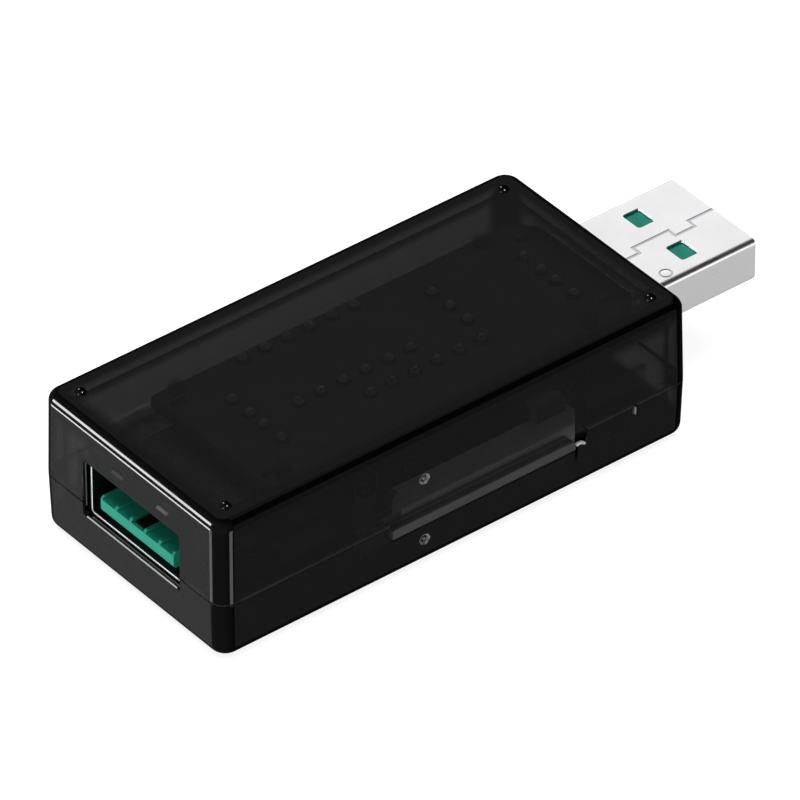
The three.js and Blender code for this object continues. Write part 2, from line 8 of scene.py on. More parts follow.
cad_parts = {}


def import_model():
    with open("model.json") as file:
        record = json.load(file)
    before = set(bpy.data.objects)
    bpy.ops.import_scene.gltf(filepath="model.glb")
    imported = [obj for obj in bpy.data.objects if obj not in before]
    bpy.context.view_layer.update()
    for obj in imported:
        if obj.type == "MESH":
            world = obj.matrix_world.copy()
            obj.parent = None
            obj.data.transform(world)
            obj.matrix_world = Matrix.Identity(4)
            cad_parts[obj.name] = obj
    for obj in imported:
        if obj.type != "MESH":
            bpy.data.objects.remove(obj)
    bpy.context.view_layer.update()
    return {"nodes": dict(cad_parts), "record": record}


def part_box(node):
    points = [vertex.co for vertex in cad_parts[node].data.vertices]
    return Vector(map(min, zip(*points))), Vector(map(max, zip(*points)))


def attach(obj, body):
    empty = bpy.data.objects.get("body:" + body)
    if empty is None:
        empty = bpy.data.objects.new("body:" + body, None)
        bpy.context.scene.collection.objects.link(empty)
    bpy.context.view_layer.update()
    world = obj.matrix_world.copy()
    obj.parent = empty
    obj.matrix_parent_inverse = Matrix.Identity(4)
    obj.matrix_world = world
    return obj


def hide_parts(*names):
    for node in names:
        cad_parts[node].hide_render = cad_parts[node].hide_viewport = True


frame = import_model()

MM = 0.001
FAR = 40
BITE = 0.3
GAP = 0.1


def box_of(node):
    low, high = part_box(node)
    return low / MM, high / MM


def mount(name):
    found = next(m for m in frame["record"]["mounts"] if m["name"] == name)
    return Vector(found["pos_m"]) / MM


# --- sizes ---------------------------------------------------------------------------------------

back_low, back_high = box_of("back_cover")
port_low, port_high = box_of("port_shell")
plug_low, plug_high = box_of("plug_shell")
board_low, board_high = box_of("main_board")
HALF_LENGTH = back_high.x
HALF_WIDTH = back_high.y
TOP = mount("back_face").z
SEAM_GAP = 0.06
SEAM = back_low.z - SEAM_GAP / 2
SEAM_ROUND = 0.12
WALL = 1.2
FLOOR = 1.2
CEILING = TOP - 1.35
CORNER = 1.63
BACK_FILLET = 0.92
FRONT_FILLET = 1.13
DRAFT = 0.15
INNER_ROUND = 0.4
INNER_CORNER = 0.9
# How far from an edge, and from the port's rim, the case goes from black to clear, how much then
# shows through its top and its sides, and how much smaller than the display its window is.
EDGE_DARK = (1.3, 2.8)
RIM_DARK = (0.2, 1.3)
TOP_SHARE = 0.72
SIDE_SHARE = 0.96
TOP_BLEND = 0.4
WINDOW_INSET = 1.3
LIP = 0.1
LIP_BAND = 0.3
RIM_BAND = 0.4
ON_FACE = 0.05
PORT_LIP = 0.16
PORT_FACE = -HALF_LENGTH + 0.04
FOOT = {"x": 23.7, "y": 10.3, "radius": 0.6, "height": 0.35, "sunk": 0.02}
SIDE_FACE = -HALF_WIDTH + DRAFT / 3
REGULATOR_X = 11
SOLDER_FROM_END = 0.75
DIMPLE = {"x": -3.75, "heights": (2.65, 9.35), "radius": 0.58, "depth": 0.26}

PORT_OPENING = {"y": -0.12, "z": 7.56, "width": 13.6, "height": 5.88, "corner": 0.35}
PORT = {
    "z": 7.56, "height": 5.72, "sheet": 0.3, "corner": 0.6, "set_back": 0.1, "lip": 0.12, "inner_lip": 0.1,
    "leg_x": -16,
}
PORT_MIDDLE = (port_low.y + port_high.y) / 2
PLUG = {
    "top": mount("plug_face").z, "height": 4.5, "sheet": 0.3, "corner": 0.55, "lip": 0.14, "leg_x": 22.6,
}
PLUG_MIDDLE = (plug_low.y + plug_high.y) / 2
LEG = 1.2
LEAF = {"y": 3.2, "width": 1.5, "start": -25.4, "length": 1.6, "rise": 0.28, "sheet": 0.12}
SILL_PROUD = 0.008
PLUG_SLACK = 0.15
WINDOW = {"from_tip": 6.15, "length": 2.0, "width": 2.45, "offset": 3.05, "corner": 0.3}

SLOT = {"left": -7.5, "right": 13.45, "bottom": 4.18}
NOTCH = {"right": 14.45, "bottom": 4.7}
SLIT = {"width": 0.22, "bottom": 3.25}
TAB_NOTCH = {"left": 19.95, "right": 20.25, "bottom": 4.85}
TABS = ((-19.6, -12.9), (15, 22.4))
TAB = {"outer": 11.6, "inner": 10.95, "bottom": 2.5, "top": 8.6, "barb": 0.35, "catch": 7.4, "land": 0.2}
POCKET_ROOM = 0.2
PILLARS = ((-15.3, 7.6), (-15.3, -7.6), (19, 7.6), (19, -7.6))
PILLAR_RADIUS = 0.8
HINGE = {"x": -8.7, "y": -10.6, "hole": 0.6, "boss": 1.2, "low": 2.7, "high": 9.4, "pin_top": 10.3}


# --- solids --------------------------------------------------------------------------------------

def outline(width, height, radius, x=0.0, y=0.0, steps=8):
    """The points of a rounded rectangle, anticlockwise."""
    points = []
    for quarter, (sx, sy) in enumerate(((1, 1), (-1, 1), (-1, -1), (1, -1))):
        for i in range(steps + 1):
            angle = math.pi / 2 * (quarter + i / steps)
            points.append((
                x + sx * (width / 2 - radius) + radius * math.cos(angle),
                y + sy * (height / 2 - radius) + radius * math.sin(angle),
            ))
    return points


def loft(rings):
    """A closed solid through rings of equal length."""
    bm = bmesh.new()
    rows = [[bm.verts.new(point) for point in ring] for ring in rings]
    for below, above in zip(rows, rows[1:]):
        for i in range(len(below)):
            j = (i + 1) % len(below)
            bm.faces.new((below[i], below[j], above[j], above[i]))
    bm.faces.new(list(reversed(rows[0])))
    bm.faces.new(rows[-1])
    bmesh.ops.recalc_face_normals(bm, faces=bm.faces)
    return scratch(bm)


def scratch(bm):
    """Puts a mesh in the scene as an object to build with."""
    mesh = bpy.data.meshes.new("scratch")
    bm.to_mesh(mesh)
    bm.free()
    obj = bpy.data.objects.new("scratch", mesh)
    bpy.context.scene.collection.objects.link(obj)
    return obj


def prism(points, axis, start, end):
    """An outline carried along an axis. Its points are (y, z), (x, z) or (x, y) along X, Y or Z."""
    order = {
        "x": lambda a, b, t: (t, a, b),
        "y": lambda a, b, t: (a, t, b),
        "z": lambda a, b, t: (a, b, t),
    }[axis]
    return loft([[order(a, b, t) for a, b in points] for t in (start, end)])


def block(x, y, z):
    return prism(((x[0], y[0]), (x[1], y[0]), (x[1], y[1]), (x[0], y[1])), "z", z[0], z[1])


def rod(x, y, z, radius, sides=24):
    turns = [2 * math.pi * i / sides for i in range(sides)]
    return prism([(x + radius * math.cos(t), y + radius * math.sin(t)) for t in turns], "z", *z)


def ball(centre, radius, steps=24):
    bm = bmesh.new()
    bmesh.ops.create_uvsphere(bm, u_segments=steps, v_segments=steps // 2, radius=radius,
                              matrix=Matrix.Translation(centre))
    return scratch(bm)


def combine(target, tool, operation):
    """Cuts or joins one solid with another, and uses the other up."""
    modifier = target.modifiers.new("combine", "BOOLEAN")
    modifier.object = tool
    modifier.operation = operation
    modifier.solver = "EXACT"
    graph = bpy.context.evaluated_depsgraph_get()
    mesh = bpy.data.meshes.new_from_object(target.evaluated_get(graph))
    target.modifiers.clear()
    target.data = mesh
    bpy.data.objects.remove(tool)


def cut(target, *tools):
    for tool in tools:
        combine(target, tool, "DIFFERENCE")
    return target


def join(target, *tools):
    for tool in tools:
        combine(target, tool, "UNION")
    return target


def paint(obj, material, chosen):
    """Gives a finished piece's chosen faces another material; chosen sees (centre, normal) in mm."""
    obj.data.materials.append(material)
    for polygon in obj.data.polygons:
        if chosen(polygon.center / MM, polygon.normal):
            polygon.material_index = len(obj.data.materials) - 1


def round_edges(obj, width, chosen, segments=2, least=math.radians(35)):
    """Bevels the sharp edges whose two ends are both chosen."""
    bm = bmesh.new()
    bm.from_mesh(obj.data)
    bmesh.ops.dissolve_degenerate(bm, dist=1e-4, edges=bm.edges)
    edges = [
        e for e in bm.edges
        if len(e.link_faces) == 2
        and e.calc_face_angle() > least
        and all(chosen(v.co) for v in e.verts)
    ]
    bmesh.ops.bevel(
        bm, geom=edges, offset=width, segments=segments, profile=0.5, affect="EDGES", clamp_overlap=True)
    bm.to_mesh(obj.data)
    bm.free()
    return obj


def piece(obj, name, material, body, replaces=(), sharp=math.radians(32)):
    """Turns a scratch solid into a named piece, in metres, with smooth shading between sharp edges."""
    obj.name = name
    obj.data.name = name
    obj.data.validate()
    obj.data.transform(Matrix.Scale(MM, 4))
    obj.data.materials.clear()
    obj.data.materials.append(material)
    obj.data.polygons.foreach_set("use_smooth", [True] * len(obj.data.polygons))
    obj.data.set_sharp_from_angle(angle=sharp)
    normals = obj.modifiers.new("normals", "WEIGHTED_NORMAL")
    normals.keep_sharp = True
    normals.weight = 80
    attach(obj, body)
    if replaces:
        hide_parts(*replaces)
    return obj


# --- materials -----------------------------------------------------------------------------------

class Nodes:
    """A material's node tree, with short ways to add and link its nodes."""

    def __init__(self, name):
        self.material = bpy.data.materials.new(name)
        self.material.use_nodes = True
        self.tree = self.material.node_tree
        self.tree.nodes.clear()
        self.output = self.add("OutputMaterial")
        self.place = self.add("TexCoord").outputs["Object"]

    def add(self, kind, **settings):
        node = self.tree.nodes.new("ShaderNode" + kind)
        for name, value in settings.items():
            setattr(node, name, value)
        return node

    def set(self, socket, value):
        if isinstance(value, bpy.types.NodeSocket):
            self.tree.links.new(value, socket)
        else:
            socket.default_value = value

    def noise(self, scale, detail=3, stretch=(1, 1, 1), roughness=0.55):
        mapping = self.add("Mapping")
        mapping.inputs["Scale"].default_value = [scale * s for s in stretch]
        self.set(mapping.inputs["Vector"], self.place)
        texture = self.add("TexNoise")
        texture.inputs["Scale"].default_value = 1
        texture.inputs["Detail"].default_value = detail
        texture.inputs["Roughness"].default_value = roughness
        self.set(texture.inputs["Vector"], mapping.outputs[0])
        return texture.outputs["Fac"]

    def remap(self, value, low, high, start=0.3, end=0.7, shape="LINEAR"):
        node = self.add("MapRange", interpolation_type=shape)
        self.set(node.inputs["Value"], value)
        names = ("From Min", "From Max", "To Min", "To Max")
        for name, number in zip(names, (start, end, low, high)):
            node.inputs[name].default_value = number
        return node.outputs["Result"]

    def math(self, operation, a, b):
        node = self.add("Math", operation=operation)
        self.set(node.inputs[0], a)
        self.set(node.inputs[1], b)
        return node.outputs[0]

    def blend(self, factor, a, b):
        node = self.add("Mix", data_type="RGBA")
        self.set(node.inputs["Factor"], factor)
        self.set(node.inputs[6], a)
        self.set(node.inputs[7], b)
        return node.outputs[2]

    def bump(self, height, strength, distance):
        node = self.add("Bump")
        node.inputs["Strength"].default_value = strength
        node.inputs["Distance"].default_value = distance
        self.set(node.inputs["Height"], height)
        return node.outputs["Normal"]

    def principled(self, **inputs):
        node = self.add("BsdfPrincipled")
        for name, value in inputs.items():
            self.set(node.inputs[name.replace("_", " ")], value)
        self.set(self.output.inputs["Surface"], node.outputs[0])
        return node


def rgb(red, green, blue):
    return (red, green, blue, 1)


def seen_through(n):
    """How much shows through the case's surface at each place.

    Plastic bends what is behind an edge away, so within a wall's thickness of one it looks black.
    So does the rim of the port. The front is printed black inside, but for the display's window.
    """
    split = n.add("SeparateXYZ")
    n.set(split.inputs[0], n.place)
    x, y, z = split.outputs

    def off(value, centre, half):
        """How far value is beyond half a size either side of a centre, in metres."""
        away = n.math("ABSOLUTE", n.math("SUBTRACT", value, centre * MM), 0.0)
        return n.math("SUBTRACT", away, half * MM)

    along = n.math("MULTIPLY", off(x, 0, HALF_LENGTH), -1.0)
    across = n.math("MULTIPLY", off(y, 0, HALF_WIDTH), -1.0)
    upright = n.math("MULTIPLY", off(z, TOP / 2, TOP / 2), -1.0)
    nearer = n.math("MINIMUM", along, across)
    further = n.math("MAXIMUM", along, across)
    from_edge = n.math("MAXIMUM", nearer, n.math("MINIMUM", further, upright))
    edge = n.remap(from_edge, 0, 1, *[d * MM for d in EDGE_DARK], "SMOOTHSTEP")
    o = PORT_OPENING
    from_rim = n.math("MAXIMUM", off(y, o["y"], o["width"] / 2), off(z, o["z"], o["height"] / 2))
    behind = n.math("GREATER_THAN", x, (WALL + GAP - HALF_LENGTH) * MM)
    near_rim = n.remap(from_rim, 0, 1, *[d * MM for d in RIM_DARK], "SMOOTHSTEP")
    rim = n.math("MAXIMUM", behind, near_rim)
    low, high = box_of("display_film")
    middle, half = (low + high) / 2, (high - low) / 2
    half -= Vector((WINDOW_INSET, WINDOW_INSET, 0))
    from_window = n.math("MAXIMUM", off(x, middle.x, half.x), off(y, middle.y, half.y))
    window = n.math("LESS_THAN", from_window, 0.0)
    unprinted = n.math("MAXIMUM", window, n.math("GREATER_THAN", z, ON_FACE * MM))
    level = n.remap(z, SIDE_SHARE, TOP_SHARE, (TOP - TOP_BLEND) * MM, (TOP - ON_FACE) * MM)
    return n.math("MULTIPLY", n.math("MULTIPLY", edge, rim), n.math("MULTIPLY", unprinted, level))


def smoked_plastic(name, density):
    """Clear plastic with a dark tint: it mirrors at its faces and takes light off inside.

    The mirrored share is 4.5% head on and rises towards a glancing view.
    """
    n = Nodes(name)
    waviness = n.bump(n.noise(90, 2), 0.02, 0.00001)
    gloss = n.add("BsdfGlossy")
    n.set(gloss.inputs["Color"], rgb(1, 1, 1))
    n.set(gloss.inputs["Roughness"], n.remap(n.noise(400, 3), 0.03, 0.055))
    n.set(gloss.inputs["Normal"], waviness)
    clear = n.add("BsdfTransparent")
    n.set(clear.inputs["Color"], seen_through(n))
    facing = n.add("LayerWeight")
    n.set(facing.inputs["Normal"], waviness)
    rising = n.math("POWER", facing.outputs["Facing"], 5.0)
    share = n.math("MULTIPLY_ADD", rising, 0.9)
    share.node.inputs[2].default_value = 0.045
    mixed = n.add("MixShader")
    n.set(mixed.inputs[0], share)
    n.set(mixed.inputs[1], clear.outputs[0])
    n.set(mixed.inputs[2], gloss.outputs[0])
    n.set(n.output.inputs["Surface"], mixed.outputs[0])
    inside = n.add("VolumeAbsorption")
    inside.inputs["Color"].default_value = rgb(0.03, 0.03, 0.04)
    inside.inputs["Density"].default_value = density
    n.set(n.output.inputs["Volume"], inside.outputs[0])
    return n.material


def sheet_metal(name, colour, roughness, grain=(1, 1, 1)):
    """Plated steel: fine rolled grain, faint stains, and a slightly uneven face."""
    n = Nodes(name)
    fine = n.noise(6000, 3, grain)
    broad = n.noise(220, 3)
    tone = n.blend(n.remap(broad, 0.0, 1.0), rgb(*colour), rgb(*[c * 0.94 for c in colour]))
    worn = n.remap(broad, roughness - 0.04, roughness + 0.05)
    rough = n.math("ADD", n.remap(fine, -0.012, 0.015), worn)
    n.principled(Base_Color=tone, Metallic=1.0, Roughness=rough,
                 Normal=n.bump(n.math("ADD", fine, broad), 0.025, 0.00001))
    return n.material


def moulded(name, colour, roughness, variation=0.12, grain=1800, relief=0.00001, **extra):
    """Opaque plastic with a fine moulded texture and slightly uneven colour."""
    n = Nodes(name)
    broad = n.noise(260, 3)
    fine = n.noise(grain, 4)
    darker = [c * (1 - variation) for c in colour]
    tone = n.blend(n.remap(broad, 0.0, 1.0), rgb(*colour), rgb(*darker))
    n.principled(Base_Color=tone, Roughness=n.remap(fine, roughness - 0.05, roughness + 0.07),
                 Normal=n.bump(fine, 0.2, relief), **extra)
    return n.material


SMOKED = smoked_plastic("smoked_polycarbonate", 1000)
STEEL = sheet_metal("nickel_plated_steel", (0.83, 0.83, 0.84), 0.3, (1, 0.15, 1))
# Darker than the plug's plated steel: painted shade on the port's shell inside the case.
SHADED_SHELL_STEEL = sheet_metal("dimmed_steel_painted_shade", (0.6, 0.6, 0.62), 0.26)
PIN_STEEL = sheet_metal("steel_pin", (0.62, 0.62, 0.64), 0.3)
TIN = moulded("solder_tin", (0.75, 0.75, 0.76), 0.5, 0.15, 900, Metallic=0.1)
# A dark grey for the lower part of each solder joint, and as painted shade on one port leaf so that its
# glint is fainter.
DARK_GREY_AND_LEAF_SHADE = moulded("dark_grey_and_painted_leaf_shade", (0.2, 0.2, 0.2), 0.5, 0.2, 900)
GILT = sheet_metal("gilt_contact", (0.85, 0.6, 0.26), 0.25)
COPPER = sheet_metal("copper_contact", (0.2, 0.11, 0.05), 0.4)
# Near-black steel for the port's inner faces: painted shade in the port's hollow.
PORT_LINING_SHADE = sheet_metal("shade_painted_port_lining", (0.07, 0.07, 0.075), 0.35)
# Darker steel for the floors of the plug's joint and round mark: painted shade in the grooves.
GROOVE_SHADE_STEEL = sheet_metal("groove_steel_painted_shade", (0.52, 0.52, 0.53), 0.32)
# Two copies of the plug's steel for the windows' cut edges: a darker one as painted shade and a brighter
# one as a painted highlight.
SHADED_CUT_EDGE = sheet_metal("cut_edge_painted_shade", (0.3, 0.32, 0.32), 0.4)
LIT_CUT_EDGE = moulded("cut_edge_painted_highlight", (0.9, 0.9, 0.9), 0.45, 0.05, 2600, Metallic=0.2)
# The port insulator's teal, brighter than the plug's: painted light making up for the light the case keeps
# off it.
LIT_PORT_TEAL = moulded("teal_plastic", (0.03, 0.47, 0.32), 0.32, 0.15)
BUTTON = moulded("button_plastic", (0.072, 0.072, 0.075), 0.34)
CARRIER_GREY = moulded("button_inner", (0.62, 0.62, 0.62), 0.45)
# Pale grey: partly the gate marks' own frosting and partly a painted highlight on them. On the sliver at
# the tab's notch it is only a painted highlight.
FROSTING_AND_HIGHLIGHT = moulded("frosting_and_painted_highlight", (0.32, 0.32, 0.33), 0.3, 0.5, 3000, 0.00003)
# Near white for the arch at the button's notch: a painted highlight.
HIGHLIGHT_WHITE = moulded("painted_highlight_white", (0.8, 0.8, 0.8), 0.3, 0.3, 3000, 0.00002)
LEAF_STEEL = moulded("leaf_steel", (0.85, 0.85, 0.86), 0.35, 0.1, 2600, Metallic=0.4)
SEAM_GREY = moulded("seam_grey", (0.033, 0.033, 0.034), 0.75, 0.3)
FOOT_BLACK = moulded("foot_black", (0.004, 0.004, 0.0042), 0.1, 0.2, 900, 0.0000005)
BARREL_GREY = moulded("button_barrel", (0.16, 0.16, 0.16), 0.45)
# The same teal as the port's, made darker: painted shade on the plug insulator under its windows.
SHADED_PLUG_TEAL = moulded("teal_darkened_painted_shade", (0.003, 0.16, 0.115), 0.5, 0.2, Specular_IOR_Level=0.15)
BLACK = moulded("black_plastic", (0.02, 0.02, 0.021), 0.45)
STEM = moulded("switch_stem", (0.2, 0.16, 0.09), 0.45)
BOARD = moulded("circuit_board", (0.14, 0.145, 0.14), 0.45, 0.3)
WHITE = moulded("display_white", (0.035, 0.035, 0.035), 0.5)
FILM = moulded("display_film", (0.012, 0.012, 0.013), 0.12, 0.2)
FOAM = moulded("foam_gasket", (0.015, 0.015, 0.015), 0.9, 0.3, 900, 0.00005)
CERAMIC = moulded("chip_ceramic", (0.3, 0.26, 0.2), 0.5)
TANTALUM = moulded("capacitor_case", (0.45, 0.26, 0.06), 0.42)


# --- case ----------------------------------------------------------------------------------------

FILLET_STEPS = 12
SKIN = 0.004
EDGE_THICKNESS = 0.3


def quarter_turn(steps):
    """Even steps of angle from 0 to a right angle."""
    return [math.pi / 2 * i / steps for i in range(steps + 1)]


def case_ring(z, far, inset=0.0):
    """The case's outline at height z, leaning in from the seam towards its far face."""
    lean = DRAFT * abs(z - SEAM) / abs(far - SEAM)
    shrink = 2 * (lean + inset)
    points = outline(2 * HALF_LENGTH - shrink, 2 * HALF_WIDTH - shrink, CORNER - inset, steps=10)
    return [(x, y, z) for x, y in points]


def case_half(near, far, fillet):
    """A filled half of the case, from its seam edge to its far face."""
    way = 1 if far > near else -1
    rings = []
    for angle in quarter_turn(3):
        rise = way * SEAM_ROUND * (1 - math.cos(angle))
        rings.append((near + rise, SEAM_ROUND * (1 - math.sin(angle))))
    for angle in quarter_turn(FILLET_STEPS):
        rings.append((far - way * fillet * (1 - math.sin(angle)), fillet * (1 - math.cos(angle))))
    return loft([case_ring(z, far, inset) for z, inset in rings])


def cavity(near, far):
    """The hollow in a half, rounded where the walls meet its far face."""
    way = 1 if far > near else -1
    rings = [(near, 0.0)]
    for angle in quarter_turn(4):
        rise = way * INNER_ROUND * (1 - math.sin(angle))
        rings.append((far - rise, INNER_ROUND * (1 - math.cos(angle))))
    length = 2 * (HALF_LENGTH - WALL)
    width = 2 * (HALF_WIDTH - WALL)
    return loft([
        [(x, y, z) for x, y in outline(length - 2 * s, width - 2 * s, INNER_CORNER - s, steps=6)]
        for z, s in rings
    ])


def port_opening():
    """The port's way through the end wall, flared out where it meets the face."""
    o = PORT_OPENING
    rings = [(-FAR, PORT_LIP)]
    for angle in quarter_turn(6):
        inward = math.sin(angle)
        grow = 1 - math.sqrt(1 - (1 - inward) ** 2)
        rings.append((PORT_FACE + PORT_LIP * inward, PORT_LIP * grow))
    rings.append((-HALF_LENGTH + 2 * WALL, 0.0))

    def ring(x, grow):
        size = (o["width"] + 2 * grow, o["height"] + 2 * grow)
        return [(x, y, z) for y, z in outline(*size, o["corner"], o["y"], o["z"])]

    return loft([ring(x, grow) for x, grow in rings])


def plug_opening():
    side = (plug_low.y - PLUG_SLACK, plug_high.y + PLUG_SLACK)
    return block((HALF_LENGTH - 2 * WALL, FAR), side, (0, PLUG["top"] + PLUG_SLACK))


def dimple(height):
    radius, depth = DIMPLE["radius"], DIMPLE["depth"]
    size = (radius ** 2 + depth ** 2) / (2 * depth)
    return ball((DIMPLE["x"], SIDE_FACE - size + depth, height), size, 40)


def tabs(side):
    """The front's snap tabs along one side: a tongue, its root on the wall, and its barb."""
    t = TAB
    inner, outer = side * t["inner"], side * t["outer"]
    behind, tip = side * (t["outer"] - GAP), side * (t["outer"] + t["barb"])
    wedge = ((behind, t["catch"]), (tip, t["catch"]), (tip, t["catch"] + t["land"]), (behind, t["top"]))
    made = []
    for x0, x1 in TABS:
        made.append(block((x0, x1), sorted((inner, outer)), (t["bottom"], t["top"])))
        made.append(block((x0, x1), sorted((inner, outer + side * BITE)), (t["bottom"], SEAM - GAP)))
        made.append(prism(wedge, "x", x0 + t["barb"], x1 - t["barb"]))
    return made


def tab_pockets(side):
    """The pockets in the back's wall that the barbs catch in."""
    room = POCKET_ROOM
    depth = sorted((side * (TAB["outer"] - room), side * (TAB["outer"] + TAB["barb"] + room)))
    height = (TAB["catch"] - room, TAB["top"])
    return [block((x0 + room, x1 - room), depth, height) for x0, x1 in TABS]


def button_slot():
    high = SEAM + 1
    points = (
        (SLOT["left"], high), (SLOT["left"], SLOT["bottom"]),
        (SLOT["right"] - SLIT["width"], SLOT["bottom"]), (SLOT["right"] - SLIT["width"], SLIT["bottom"]),
        (SLOT["right"], SLIT["bottom"]), (SLOT["right"], NOTCH["bottom"]),
        (NOTCH["right"], NOTCH["bottom"]), (NOTCH["right"], high),
    )
    return prism(points, "y", -FAR, -HALF_WIDTH + WALL + GAP / 2)


def outside(place):
    """True on the case's outer faces."""
    on_side = abs(place.x) > HALF_LENGTH - LIP_BAND or abs(place.y) > HALF_WIDTH - LIP_BAND
    return on_side or place.z < ON_FACE or place.z > TOP - ON_FACE


def at_port(place):
    """True on the rim of the port's opening in the end wall, and just round it."""
    o = PORT_OPENING
    across = abs(place.y - o["y"]) < o["width"] / 2 + RIM_BAND
    upright = abs(place.z - o["z"]) < o["height"] / 2 + RIM_BAND
    return place.x < -HALF_LENGTH + LIP_BAND and across and upright


def back_cover():
    shell = case_half(SEAM + SEAM_GAP / 2, TOP, BACK_FILLET)
    cut(shell, cavity(0, CEILING), port_opening(), plug_opening())
    cut(shell, *tab_pockets(1), *tab_pockets(-1), dimple(DIMPLE["heights"][1]))
    round_edges(shell, LIP, lambda p: outside(p) and p.z < TOP - ON_FACE and not at_port(p))
    pillars = [rod(x, y, (board_high.z + GAP, CEILING + BITE), PILLAR_RADIUS) for x, y in PILLARS]
    boss = rod(HINGE["x"], HINGE["y"], (HINGE["high"], CEILING + BITE), HINGE["boss"])
    cut(boss, rod(HINGE["x"], HINGE["y"], (HINGE["high"] - 1, HINGE["pin_top"]), HINGE["hole"]))
    return join(shell, *pillars, boss)


def front_cover():
    shell = case_half(SEAM - SEAM_GAP / 2, 0, FRONT_FILLET)
    notch = block((TAB_NOTCH["left"], TAB_NOTCH["right"]), (-FAR, -HALF_WIDTH + WALL),
                  (TAB_NOTCH["bottom"], SEAM + 1))
    cut(shell, cavity(SEAM + 1, FLOOR), port_opening(), dimple(DIMPLE["heights"][0]), button_slot(), notch)
    round_edges(shell, LIP, lambda p: outside(p) and not at_port(p))
    sill = block((HALF_LENGTH - WALL, HALF_LENGTH - ON_FACE), (plug_low.y + 0.2, plug_high.y - 0.2),
                 (SEAM - 2 * BITE, plug_low.z - PLUG_SLACK))
    pillars = [rod(x, y, (FLOOR - BITE, board_low.z - GAP), PILLAR_RADIUS) for x, y in PILLARS]
    boss = rod(HINGE["x"], HINGE["y"], (FLOOR - BITE, HINGE["low"]), HINGE["boss"])
    cut(boss, rod(HINGE["x"], HINGE["y"], (FLOOR + GAP, HINGE["low"] + 1), HINGE["hole"]))
    return join(shell, sill, *pillars, boss, *tabs(1), *tabs(-1))


def foot(x, y):
    """A domed pip that stands on the back."""
    rise = FOOT["height"] - FOOT["radius"]
    dome = ball((x, y, TOP + rise), FOOT["radius"], 32)
    return cut(dome, block((x - 1, x + 1), (y - 1, y + 1), (TOP - 2, TOP - FOOT["sunk"])))


def port_edge():
    """The polished round of the back's edge and corners at the port end, a thin skin on the case."""
    rows = []
    for angle in quarter_turn(FILLET_STEPS):
        z = TOP - BACK_FILLET * (1 - math.sin(angle))
        ring = case_ring(z, TOP, BACK_FILLET * (1 - math.cos(angle)))
        rows.append(ring[len(ring) // 4:len(ring) * 3 // 4])
    bm = bmesh.new()
    grid = [[bm.verts.new(point) for point in row] for row in rows]
    for below, above in zip(grid, grid[1:]):
        for i in range(len(below) - 1):
            bm.faces.new((below[i], below[i + 1], above[i + 1], above[i]))
    bm.normal_update()
    for vertex in bm.verts:
        vertex.co += vertex.normal * SKIN
    bmesh.ops.solidify(bm, geom=bm.faces[:], thickness=EDGE_THICKNESS)
    bmesh.ops.recalc_face_normals(bm, faces=bm.faces)
    return scratch(bm)


piece(port_edge(), "case_back_edge", FOOT_BLACK, "case")
piece(back_cover(), "case_back", SMOKED, "case", ("back_cover",))
FEET = [f"foot_{i}" for i in range(1, 5)]
CORNERS = [(sx * FOOT["x"], sy * FOOT["y"]) for sx in (-1, 1) for sy in (-1, 1)]
for name, place in zip(FEET, CORNERS):
    piece(foot(*place), name, FOOT_BLACK, "case")
piece(front_cover(), "case_front", SMOKED, "case", ("front_cover",))


GATE_FOLD = 0.03
GATE_RING = ((0.55, 0.03), (0.48, 0.1), (0.4, 0.16), (0.34, 0.2))
GATE_PIP = ((0.17, 0.22), (0.12, 0.12), (0.04, 0.08))


def gate_mark(height, profile):
    """The frosted ring, or the pip inside it, that a moulding gate leaves in its dish. Its pale grey is
    partly the gate's own frosting and partly a painted highlight.
    """
    turns = 36
    bm = bmesh.new()
    rows = []
    for radius, depth in profile:
        row = []
        for i in range(turns):
            angle = 2 * math.pi * i / turns
            fold = GATE_FOLD * math.sin(5 * angle + 9 * radius)
            row.append(bm.verts.new((DIMPLE["x"] + radius * math.cos(angle), SIDE_FACE + depth + fold,
                                     height + radius * math.sin(angle))))
        rows.append(row)
    for outer, inner in zip(rows, rows[1:]):
        for i in range(turns):
            j = (i + 1) % turns
            bm.faces.new((outer[i], outer[j], inner[j], inner[i]))
    bm.normal_update()
    bmesh.ops.solidify(bm, geom=bm.faces[:], thickness=GATE_FOLD)
    bmesh.ops.recalc_face_normals(bm, faces=bm.faces)
    return scratch(bm)


# The gate marks' pale grey is partly their frosting and partly a painted highlight.
for place, height in zip(("lower", "upper"), DIMPLE["heights"]):
    for part, profile in (("ring", GATE_RING), ("pip", GATE_PIP)):
        piece(gate_mark(height, profile), f"gate_{part}_{place}", FROSTING_AND_HIGHLIGHT, "case")


# LEDGE's start and sweep are in half turns.
LEDGE = {"x": 13.75, "z": 4.05, "radius": 0.84, "thick": 0.26, "depth": 0.3, "start": 0.18, "sweep": 0.49}
HIGHLIGHT_SLIVER = {"x": (20.0, 20.2), "y": (SIDE_FACE + 0.02, SIDE_FACE + 0.4), "z": (4.9, 5.75)}
SEAM_INSET = 0.06
SEAM_LIP = 0.09


def notch_glint():
    """The drawn-up edge at the foot of the notch beside the button: a small arch of plastic, near white as
    a painted highlight.
    """
    g = LEDGE
    turns = [math.pi * (g["start"] + g["sweep"] * i / 12) for i in range(13)]
    inner = g["radius"] - g["thick"]
    arch = [(g["x"] + g["radius"] * math.cos(t), g["z"] + g["radius"] * math.sin(t)) for t in turns]
    arch += [(g["x"] + inner * math.cos(t), g["z"] + inner * math.sin(t)) for t in reversed(turns)]
    return round_edges(prism(arch, "y", SIDE_FACE + 0.01, SIDE_FACE + g["depth"]), 0.03, lambda p: True)


